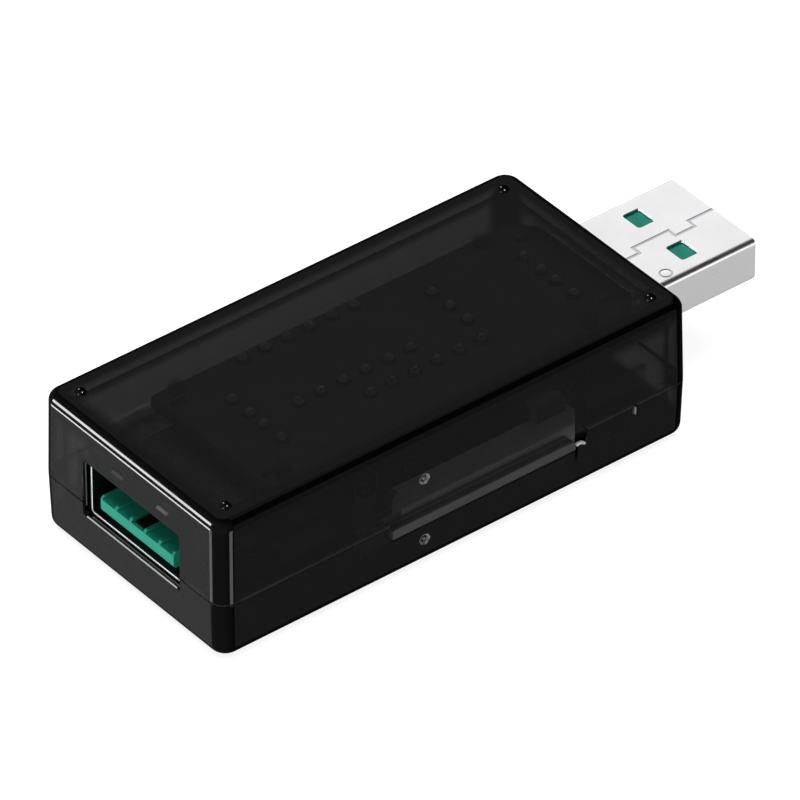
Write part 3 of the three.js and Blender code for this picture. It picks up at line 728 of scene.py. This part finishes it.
def seam_lip():
    """The tongue of the lap joint, seen in the gap between the halves."""
    outer = loft([case_ring(z, TOP, SEAM_INSET) for z in (SEAM - SEAM_LIP, SEAM + SEAM_LIP)])
    inner = loft([case_ring(z, TOP, SEAM_INSET + BITE) for z in (SEAM - 1, SEAM + 1)])
    upright = (0, FAR)
    side = (-FAR, -HALF_WIDTH + WALL)
    half = PORT_OPENING["width"] / 2
    openings = [
        block((-FAR, -HALF_LENGTH + 2), (-half - 3 * GAP, half + GAP), upright),
        plug_opening(),
        block((SLOT["left"] - 2 * GAP, NOTCH["right"] + 2 * GAP), side, upright),
        block((TAB_NOTCH["left"] - GAP, TAB_NOTCH["right"] + GAP), side, upright),
    ]
    return cut(outer, inner, *openings)


# The notch's arch is near white: a painted highlight.
piece(notch_glint(), "notch_edge", HIGHLIGHT_WHITE, "case")
# A pale sliver at the tab's notch: a painted highlight.
highlight_sliver = round_edges(block(HIGHLIGHT_SLIVER["x"], HIGHLIGHT_SLIVER["y"], HIGHLIGHT_SLIVER["z"]), 0.06, lambda p: True)
piece(highlight_sliver, "tab_edge", FROSTING_AND_HIGHLIGHT, "case")
piece(seam_lip(), "seam_lip", SEAM_GREY, "case")


# --- button --------------------------------------------------------------------------------------

BAR = {"left": -7.35, "right": 13.25, "bottom": 4.3, "top": 5.28, "corner": 0.45}
CARRIER = {
    "left": -6.4, "right": 14.2, "bottom": 3, "top": 8, "outer": -11.55, "inner": -10.7, "corner": 0.7,
}
EAR = {"x": 11.5, "width": 3.2, "bottom": 6, "top": 9.6, "face": -10.45}
ARM_TOP = 6
BARREL = {"radius": 0.95, "top": 9.1}
BUTTON_ROUND = 0.08
THIN = 0.01


def button_bar():
    """The bar that the finger presses, in the case's slot."""
    low, _ = box_of("side_button")
    b = BAR
    points = [(b["left"], b["bottom"]), (b["right"], b["bottom"])]
    for angle in quarter_turn(6):
        points.append((b["right"] - b["corner"] * (1 - math.cos(angle)),
                       b["top"] - b["corner"] * (1 - math.sin(angle))))
    points.append((b["left"], b["top"]))
    bar = prism(points, "y", low.y, CARRIER["outer"] - THIN)
    return round_edges(bar, BUTTON_ROUND, lambda p: p.y < low.y + THIN)


def button_carrier():
    """The plate behind the bar, with its arm, the barrel on the pin, and the ear at the switch."""
    c = CARRIER
    middle = ((c["left"] + c["right"]) / 2, (c["bottom"] + c["top"]) / 2)
    face = outline(c["right"] - c["left"], c["top"] - c["bottom"], c["corner"], *middle)
    plate = prism(face, "y", c["outer"], c["inner"])
    arm = block((HINGE["x"], c["left"] + 1), (c["outer"], c["inner"]), (c["bottom"], ARM_TOP))
    ear = block((EAR["x"] - EAR["width"] / 2, EAR["x"] + EAR["width"] / 2), (c["outer"], EAR["face"]),
                (EAR["bottom"], EAR["top"]))
    barrel = rod(HINGE["x"], HINGE["y"], (c["bottom"], BARREL["top"]), BARREL["radius"])
    join(plate, arm, ear, barrel)
    cut(plate, rod(HINGE["x"], HINGE["y"], (0, c["top"] + 4), HINGE["hole"]))
    return round_edges(plate, BUTTON_ROUND, lambda p: True)


def on_barrel(place, normal):
    """True on the carrier's arm, barrel and ear, beyond the plate."""
    return place.x < CARRIER["left"] + 0.8 or place.z > CARRIER["top"] + GAP


piece(button_bar(), "button_bar", BUTTON, "button", ("side_button",))
carrier = piece(button_carrier(), "button_carrier", CARRIER_GREY, "button", ("side_button",))
paint(carrier, BARREL_GREY, on_barrel)


# --- connectors ----------------------------------------------------------------------------------

def tube(x, y_middle, z_middle, width, height, sheet, corner, lip):
    """A rectangular tube of sheet, its front edge at x[0] rounded over."""
    way = 1 if x[1] > x[0] else -1
    ends = [(x[0] + way * lip, 0.0), (x[0] + way * lip * 0.3, lip * 0.3), (x[0], lip)]

    def ring(place, inset):
        points = outline(width - 2 * inset, height - 2 * inset, corner - inset * 0.8, y_middle, z_middle)
        return [(place, a, b) for a, b in points]

    outer = loft([ring(x[1], 0.0)] + [ring(place, inset) for place, inset in ends])
    inner_corner = corner - sheet + 0.05
    inner = prism(outline(width - 2 * sheet, height - 2 * sheet, inner_corner, y_middle, z_middle), "x",
                  min(x) - 1, max(x) + 1)
    return cut(outer, inner)


def legs(low, high, middle, height, sheet, top):
    """The two tabs that hold a shell to the board."""
    return [
        block((middle - LEG / 2, middle + LEG / 2), sorted((y, y + way * sheet)), (height - 1, top))
        for y, way in ((low.y, 1), (high.y, -1))
    ]


def port_shell():
    """The port's tube, its mouth rounded outside and in, and its two legs."""
    half = (port_high.y - port_low.y) / 2
    front = port_low.x + PORT["set_back"]
    shell = tube((front, port_high.x), PORT_MIDDLE, PORT["z"], 2 * half, PORT["height"], PORT["sheet"],
                 PORT["corner"], PORT["lip"])

    def inner_rim(p):
        inside = abs(p.y - PORT_MIDDLE) < half - 0.2 and abs(p.z - PORT["z"]) < PORT["height"] / 2 - 0.2
        return inside and abs(p.x - front) < THIN

    round_edges(shell, PORT["inner_lip"], inner_rim, 3)
    return join(shell, *legs(port_low, port_high, PORT["leg_x"], PORT["z"] + PORT["height"] / 2,
                             PORT["sheet"], port_high.z))


def port_sill():
    """The polished round along the lower lip of the port's opening."""
    o = PORT_OPENING
    bottom = o["z"] - o["height"] / 2
    x, z, radius = PORT_FACE + PORT_LIP, bottom - PORT_LIP, PORT_LIP + SILL_PROUD
    half = o["width"] / 2 - o["corner"]
    turns = [2 * math.pi * i / 32 for i in range(32)]
    points = [(x + radius * math.cos(t), z + radius * math.sin(t)) for t in turns]
    return prism(points, "y", o["y"] - half, o["y"] + half)


def port_leaf(side):
    """A bowed leaf pressed up out of the top of the port's shell."""
    top = PORT["z"] + PORT["height"] / 2 + THIN
    shares = [i / 12 for i in range(13)]
    bow = [(LEAF["start"] + LEAF["length"] * s, top + LEAF["rise"] * math.sin(math.pi * s)) for s in shares]
    arch = bow + [(x, z + LEAF["sheet"]) for x, z in reversed(bow)]
    y = PORT_MIDDLE + side * LEAF["y"]
    return prism(arch, "y", y - LEAF["width"] / 2, y + LEAF["width"] / 2)


JOINT = {"width": 0.32, "depth": 0.04, "near": -1.03, "far": -0.03, "turns": (30.35, 34.5, 36.8)}
MARK = {"x": 30.25, "y": -4.8, "radius": 0.66, "line": 0.2, "depth": 0.05}
WINDOW_X = plug_high.x - WINDOW["from_tip"]
TOP_ROUND = 0.05
ON_TOP = 0.02


def plug_joint():
    """The stepped gap where the rolled sheet closes along its middle."""
    half = JOINT["width"] / 2
    depth = (PLUG["top"] - JOINT["depth"], PLUG["top"] + 1)
    stops = (plug_low.x - 1, *JOINT["turns"], plug_high.x + 1)
    made = []
    for i, (start, end) in enumerate(zip(stops, stops[1:])):
        y = PLUG_MIDDLE + (JOINT["far"] if i % 2 else JOINT["near"])
        made.append(block((start - half, end + half), (y - half, y + half), depth))
    across = (PLUG_MIDDLE + JOINT["near"] - half, PLUG_MIDDLE + JOINT["far"] + half)
    made += [block((x - half, x + half), across, depth) for x in JOINT["turns"]]
    return made


def plug_windows():
    """The two windows through the plug's top and bottom."""
    size = (WINDOW["length"], WINDOW["width"], WINDOW["corner"], WINDOW_X)
    heights = (PLUG["top"] - 2 * PLUG["height"], PLUG["top"] + PLUG["height"])
    return [prism(outline(*size, PLUG_MIDDLE + side * WINDOW["offset"]), "z", *heights)
            for side in (-1, 1)]


def plug_mark():
    """The round mark pressed into the plug's top."""
    top = PLUG["top"]
    x, y = MARK["x"], PLUG_MIDDLE + MARK["y"]
    return cut(rod(x, y, (top - MARK["depth"], top + 1), MARK["radius"], 40),
               rod(x, y, (top - 1, top + 2), MARK["radius"] - MARK["line"], 40))


def plug_shell():
    """The plug's tube with its windows, joint, round mark and legs."""
    top = PLUG["top"]
    far = WINDOW_X + WINDOW["length"] / 2
    shell = tube((plug_high.x, plug_low.x), PLUG_MIDDLE, top - PLUG["height"] / 2,
                 plug_high.y - plug_low.y, PLUG["height"], PLUG["sheet"], PLUG["corner"], PLUG["lip"])

    def on_top(p):
        return p.z > top - ON_TOP

    def window_end(p):
        beside = abs(abs(p.y - PLUG_MIDDLE) - WINDOW["offset"]) < WINDOW["width"] / 2
        return on_top(p) and beside and abs(p.x - far) < THIN

    cut(shell, *plug_windows(), *plug_joint())
    round_edges(shell, PLUG["lip"], window_end, 3)
    cut(shell, plug_mark())
    round_edges(shell, TOP_ROUND, on_top, 2, math.radians(50))
    return join(shell, *legs(plug_low, plug_high, PLUG["leg_x"], top, PLUG["sheet"], plug_high.z))


def in_port(place, normal):
    """True on the inner faces of the port's shell."""
    wide = (port_high.y - port_low.y) / 2 - PORT["sheet"] + ON_TOP
    high = PORT["height"] / 2 - PORT["sheet"] + ON_TOP
    within = abs(place.y - PORT_MIDDLE) < wide and abs(place.z - PORT["z"]) < high
    return within and place.x > port_low.x + PORT["sheet"]


def in_groove(place, normal):
    """True on the floors of the plug's joint and of its round mark."""
    return normal.z > 0.9 and PLUG["top"] - GAP < place.z < PLUG["top"] - ON_TOP


def at_window(place):
    """True on the cut edges of the windows in the plug's top, and just round them."""
    along = abs(place.x - WINDOW_X) < WINDOW["length"] / 2 + 0.2
    from_middle = abs(abs(place.y - PLUG_MIDDLE) - WINDOW["offset"])
    across = from_middle < WINDOW["width"] / 2 + ON_TOP
    return along and across and place.z > PLUG["top"] - PLUG["sheet"] - THIN


# The windows' cut faces that don't face the port end: painted shade.
def shaded_cut_faces(place, normal):
    return at_window(place) and abs(normal.z) < 0.7 and normal.x > -0.6


# The windows' cut faces that face the port end: a painted highlight.
def lit_cut_faces(place, normal):
    return at_window(place) and abs(normal.z) < 0.95 and normal.x < -0.6


# The port's shell takes the darker steel: painted shade.
port = piece(port_shell(), "port_shell_formed", SHADED_SHELL_STEEL, "case", ("port_shell",))
# The port shell's inner faces are near black: painted shade inside the port.
paint(port, PORT_LINING_SHADE, in_port)
piece(port_sill(), "port_sill", FOOT_BLACK, "case")
# port_leaf_1 takes the dark grey as painted shade: a fainter copy of the other leaf's steel.
for name, side, look in (("port_leaf_1", 1, DARK_GREY_AND_LEAF_SHADE), ("port_leaf_2", -1, LEAF_STEEL)):
    piece(port_leaf(side), name, look, "case")
plug = piece(plug_shell(), "plug_shell_formed", STEEL, "case", ("plug_shell",))
# The joint's and the round mark's floors are darker: painted shade.
paint(plug, GROOVE_SHADE_STEEL, in_groove)
# The windows' cut edges: painted shade on some, a painted highlight on those facing the port end.
paint(plug, SHADED_CUT_EDGE, shaded_cut_faces)
paint(plug, LIT_CUT_EDGE, lit_cut_faces)


# --- board ---------------------------------------------------------------------------------------

PITCH = 2.5
DISPLAY_ROWS = 8
SOLDER = ((0.66, 0.0), (0.64, 0.05), (0.58, 0.16), (0.5, 0.32), (0.42, 0.5), (0.33, 0.64), (0.2, 0.74))
SOLDER_TIP = 0.77
DARKER_BELOW = 0.35


def pin_places():
    """Where the pins of the parts below come through the board."""
    low, high = box_of("display_housing")
    display = (low + high) / 2
    row = [PITCH * (i - 2.5) for i in range(6)]
    low, high = box_of("service_header")
    header = (low + high) / 2
    low, high = box_of("regulator")
    places = [(display.x + dx, display.y + side * DISPLAY_ROWS / 2) for dx in row for side in (-1, 1)]
    places += [(header.x + dx, header.y) for dx in row]
    places += [(REGULATOR_X, (low.y + high.y) / 2 + dy) for dy in (-PITCH, 0, PITCH)]
    for end in ("port", "plug"):
        for i in range(1, 5):
            low, high = box_of(f"{end}_contact_{i}")
            x = high.x - SOLDER_FROM_END if end == "port" else low.x + SOLDER_FROM_END
            places.append((x, (low.y + high.y) / 2))
    return places


def solder_joints():
    """A pad and a fillet of solder round every pin."""
    bm = bmesh.new()
    turns = 20
    angles = [2 * math.pi * i / turns for i in range(turns)]
    foot_z = board_high.z + THIN
    for x, y in pin_places():
        rows = [
            [bm.verts.new((x + radius * math.cos(a), y + radius * math.sin(a), foot_z + rise))
             for a in angles]
            for radius, rise in SOLDER
        ]
        tip = bm.verts.new((x, y, foot_z + SOLDER_TIP))
        for below, above in zip(rows, rows[1:]):
            for i in range(turns):
                j = (i + 1) % turns
                bm.faces.new((below[i], below[j], above[j], above[i]))
        for i in range(turns):
            bm.faces.new((rows[-1][i], rows[-1][(i + 1) % turns], tip))
        bm.faces.new(list(reversed(rows[0])))
    return scratch(bm)


solder = piece(solder_joints(), "solder_joints", TIN, "case",
               sharp=math.radians(60))
# The lower part of each joint is darker.
paint(solder, DARK_GREY_AND_LEAF_SHADE, lambda place, normal: place.z < board_high.z + DARKER_BELOW)


# --- pieces that keep their CAD shape ------------------------------------------------------------

def finish_node(node, material, width=0.05):
    """Gives a CAD node its material and rounds its edges a little."""
    obj = frame["nodes"][node]
    obj.data.materials.clear()
    obj.data.materials.append(material)
    obj.data.polygons.foreach_set("use_smooth", [True] * len(obj.data.polygons))
    bevel = obj.modifiers.new("edges", "BEVEL")
    bevel.width = width * MM
    bevel.segments = 2
    bevel.limit_method = "ANGLE"
    bevel.angle_limit = math.radians(40)
    normals = obj.modifiers.new("normals", "WEIGHTED_NORMAL")
    normals.keep_sharp = True


FINISHES = {
    "button_pin": PIN_STEEL, "switch_body": BLACK, "switch_plunger": STEM,
    "main_board": BOARD, "display_housing": WHITE, "display_film": FILM, "display_gasket": FOAM,
    "microcontroller": BLACK, "regulator": BLACK, "service_header": BLACK, "shunt_resistor": BLACK,
    # The two insulators take lit and shaded copies of one teal.
    "input_capacitor": TANTALUM, "output_capacitor": TANTALUM, "plug_insulator": SHADED_PLUG_TEAL,
    "port_insulator": LIT_PORT_TEAL, "port_middle_contact": COPPER,
}
FINISHES.update({f"chip_{i}": CERAMIC for i in range(1, 6)})
FINISHES.update({f"{end}_contact_{i}": GILT for end in ("plug", "port") for i in range(1, 5)})
for node, material in FINISHES.items():
    finish_node(node, material)


# --- stage, lights and camera --------------------------------------------------------------------

# The place is in metres, the angles are in radians, and the lens and sensor in millimetres.
CAMERA = {
    "place": (-0.47867, -0.60886, 0.60505), "azimuth": 4.042411, "elevation": 0.6563215,
    "roll": -0.0039275, "lens": 499.5, "sensor": 36,
}
FLOOR_DROP = 0.05


def floor():
    """A pale floor, nearly white by its own glow. It isn't mirrored and casts no shadow."""
    n = Nodes("floor")
    pale, paler = rgb(0.29, 0.29, 0.29), rgb(0.3, 0.3, 0.3)
    tone = n.blend(n.remap(n.noise(6, 2), 0.0, 1.0), paler, pale)
    n.principled(Base_Color=tone, Roughness=0.9, Emission_Color=rgb(1, 1, 1), Emission_Strength=0.88)
    bm = bmesh.new()
    bmesh.ops.create_grid(bm, x_segments=1, y_segments=1, size=6)
    mesh = bpy.data.meshes.new("floor")
    bm.to_mesh(mesh)
    bm.free()
    obj = bpy.data.objects.new("floor", mesh)
    bpy.context.scene.collection.objects.link(obj)
    mesh.materials.append(n.material)
    obj.location.z = -FLOOR_DROP * MM
    obj.visible_glossy = False
    obj.visible_shadow = False


def area_light(name, place, target, size, radiance, **seen):
    """A flat light whose face is as bright as radiance, beside white paper at 1."""
    data = bpy.data.lights.new(name, "AREA")
    data.shape = "RECTANGLE"
    data.size, data.size_y = size
    data.energy = radiance * math.pi * size[0] * size[1]
    obj = bpy.data.objects.new(name, data)
    obj.location = place
    obj.rotation_euler = (Vector(target) - Vector(place)).to_track_quat("-Z", "Y").to_euler()
    for ray, value in seen.items():
        setattr(obj, "visible_" + ray, value)
    bpy.context.scene.collection.objects.link(obj)
    return obj


def light_only(light, names, only=True):
    """Lets a light reach only the named pieces, or with only=False everything but them."""
    group = bpy.data.collections.new(light.name + "_reach")
    light.light_linking.receiver_collection = group
    for name in names:
        group.objects.link(bpy.data.objects[name])
    for entry in group.collection_objects:
        entry.light_linking.link_state = "INCLUDE" if only else "EXCLUDE"


def world():
    """White for the camera and dim for all else, a little brighter beyond the port end."""
    made = bpy.data.worlds.new("studio")
    bpy.context.scene.world = made
    made.use_nodes = True
    nodes, links = made.node_tree.nodes, made.node_tree.links
    nodes.clear()
    place = nodes.new("ShaderNodeTexCoord")
    split = nodes.new("ShaderNodeSeparateXYZ")
    level = nodes.new("ShaderNodeMapRange")
    for name, value in (("From Min", -0.5), ("From Max", 0.5), ("To Min", 0.12), ("To Max", 0.02)):
        level.inputs[name].default_value = value
    dim = nodes.new("ShaderNodeBackground")
    dim.inputs["Color"].default_value = rgb(1, 1, 1)
    white = nodes.new("ShaderNodeBackground")
    white.inputs["Color"].default_value = rgb(1, 1, 1)
    path = nodes.new("ShaderNodeLightPath")
    mix = nodes.new("ShaderNodeMixShader")
    out = nodes.new("ShaderNodeOutputWorld")
    links.new(place.outputs["Generated"], split.inputs[0])
    links.new(split.outputs["X"], level.inputs["Value"])
    links.new(level.outputs["Result"], dim.inputs["Strength"])
    links.new(path.outputs["Is Camera Ray"], mix.inputs[0])
    links.new(dim.outputs[0], mix.inputs[1])
    links.new(white.outputs[0], mix.inputs[2])
    links.new(mix.outputs[0], out.inputs[0])


CASE = ("case_back", "case_front")
EDGE = ("case_back_edge",)
WHOLE_CASE = (*CASE, *EDGE)
METAL = ("plug_shell_formed", "port_shell_formed")
SILL = ("port_sill",)
LEAVES = ("port_leaf_1", "port_leaf_2")
SUBJECT = (0, 0, 0.007)
TO_CAMERA = Vector(CAMERA["place"]).normalized()
UP, PORT_END, BUTTON_SIDE = (0, 0, 1), (-1, 0, 0), (0, -1, 0)
CORNER_RAISE = Vector((0, 0, 0.193))


def mirrored(start, towards=UP, degrees=0.0):
    """What the photo's view sees in a face turned some degrees from one side towards another."""
    angle = math.radians(degrees)
    normal = Vector(start) * math.cos(angle) + Vector(towards) * math.sin(angle)
    return 2 * normal.dot(TO_CAMERA) * normal - TO_CAMERA


def card(name, toward, size, radiance, seen_by, distance=0.7):
    """A light that shows only in reflections, off in a direction from the subject."""
    place = Vector(toward).normalized() * distance + Vector(SUBJECT)
    light = area_light(name, place, SUBJECT, size, radiance, diffuse=False)
    light_only(light, seen_by)


def room_lights():
    """The light on what isn't case or metal, and two small lights on bright details."""
    key = area_light("key", (0.1, 0.15, 0.7), (0, 0, 0), (0.8, 0.8), 4.5)
    light_only(key, (*WHOLE_CASE, *METAL, *FEET, *SILL), only=False)
    fill = area_light("front_fill", (-0.6, -0.1, 0.12), (0, 0, 0), (0.4, 0.4), 1.75)
    light_only(fill, (*WHOLE_CASE, *SILL), only=False)
    leaf = area_light("leaf_glint", (-0.5, -0.2, 0.4), SUBJECT, (0.2, 0.2), 280)
    light_only(leaf, LEAVES)
    cuts = area_light("cut_edges", (-0.5, -0.1, 0.3), (0.035, 0, 0.011), (0.2, 0.2), 55, glossy=False)
    light_only(cuts, METAL[:1])


def metal_lights():
    """The white room that the plug and the port mirror."""
    sky = area_light("metal_sky", (0.5, 1.6, 1.2), (0.5, 1.6, 0), (4, 3), 1.0, diffuse=False)
    wall = area_light("metal_wall", (0.8, -1.4, -0.2), (0, 0, 0), (2, 1.0), 1.0, diffuse=False)
    glow = area_light("metal_floor", (0, 0, -0.05), (0, 0, 1), (3, 3), 0.52, diffuse=False)
    for light in (sky, wall, glow):
        light_only(light, METAL)
    card("metal_far", (0.6, 0.8, 0.02), (1.2, 0.8), 0.85, METAL, 0.9)
    card("rim_low", mirrored(UP, PORT_END, 45), (0.35, 0.35), 2.2, METAL)
    card("rim_side", mirrored(PORT_END, BUTTON_SIDE, 45), (0.35, 0.35), 2.2, METAL)
    card("sill_glint", mirrored(UP, PORT_END, 49.2), (0.4, 1.2), 10, SILL)


def case_lights():
    """The soft cards that the case's faces, rounds, corners and feet mirror."""
    card("top_card", mirrored(UP), (0.25, 0.25), 0.17, WHOLE_CASE)
    card("top_card_bend", mirrored(UP, BUTTON_SIDE, 15), (0.3, 0.3), 0.12, CASE)
    card("side_card", mirrored(BUTTON_SIDE), (0.25, 0.25), 0.15, CASE)
    card("side_card_bend", mirrored(UP, BUTTON_SIDE, 68.5), (0.36, 0.6), 0.12, CASE)
    card("end_card", mirrored(PORT_END), (0.25, 0.25), 0.32, WHOLE_CASE)
    card("edge_strip", mirrored(UP, PORT_END, 55), (0.25, 0.22), 16, EDGE)
    card("low_strip", mirrored(UP, PORT_END, 81.6), (0.25, 0.09), 11, EDGE)
    for name, degrees, radiance in (("left_corner", 9.9, 1.8), ("right_corner", 73.4, 1.7)):
        toward = mirrored(PORT_END, BUTTON_SIDE, degrees) + CORNER_RAISE
        card(name, toward, (0.2, 0.24), radiance, WHOLE_CASE)
    card("foot_near", (0.115, -0.549, 0.828), (0.2, 0.2), 20, FEET)
    card("foot_far", (0.082, 0.749, 0.657), (0.14, 0.14), 16, FEET)


floor()
world()
room_lights()
metal_lights()
case_lights()


def camera():
    """The photo's view, with the port end and the button's side towards the camera."""
    data = bpy.data.cameras.new("camera")
    data.lens = CAMERA["lens"]
    data.sensor_width = CAMERA["sensor"]
    data.clip_start, data.clip_end = 0.01, 100
    obj = bpy.data.objects.new("camera", data)
    azimuth, elevation = CAMERA["azimuth"], CAMERA["elevation"]
    back = Vector((math.cos(elevation) * math.cos(azimuth), math.cos(elevation) * math.sin(azimuth),
                   math.sin(elevation)))
    right = Vector((0, 0, 1)).cross(back).normalized()
    up = back.cross(right)
    turn = Matrix((right, up, back)).transposed() @ Matrix.Rotation(CAMERA["roll"], 3, "Z")
    obj.matrix_world = Matrix.Translation(CAMERA["place"]) @ turn.to_4x4()
    bpy.context.scene.collection.objects.link(obj)
    bpy.context.scene.camera = obj


camera()
bpy.context.scene.view_settings.view_transform = "Standard"
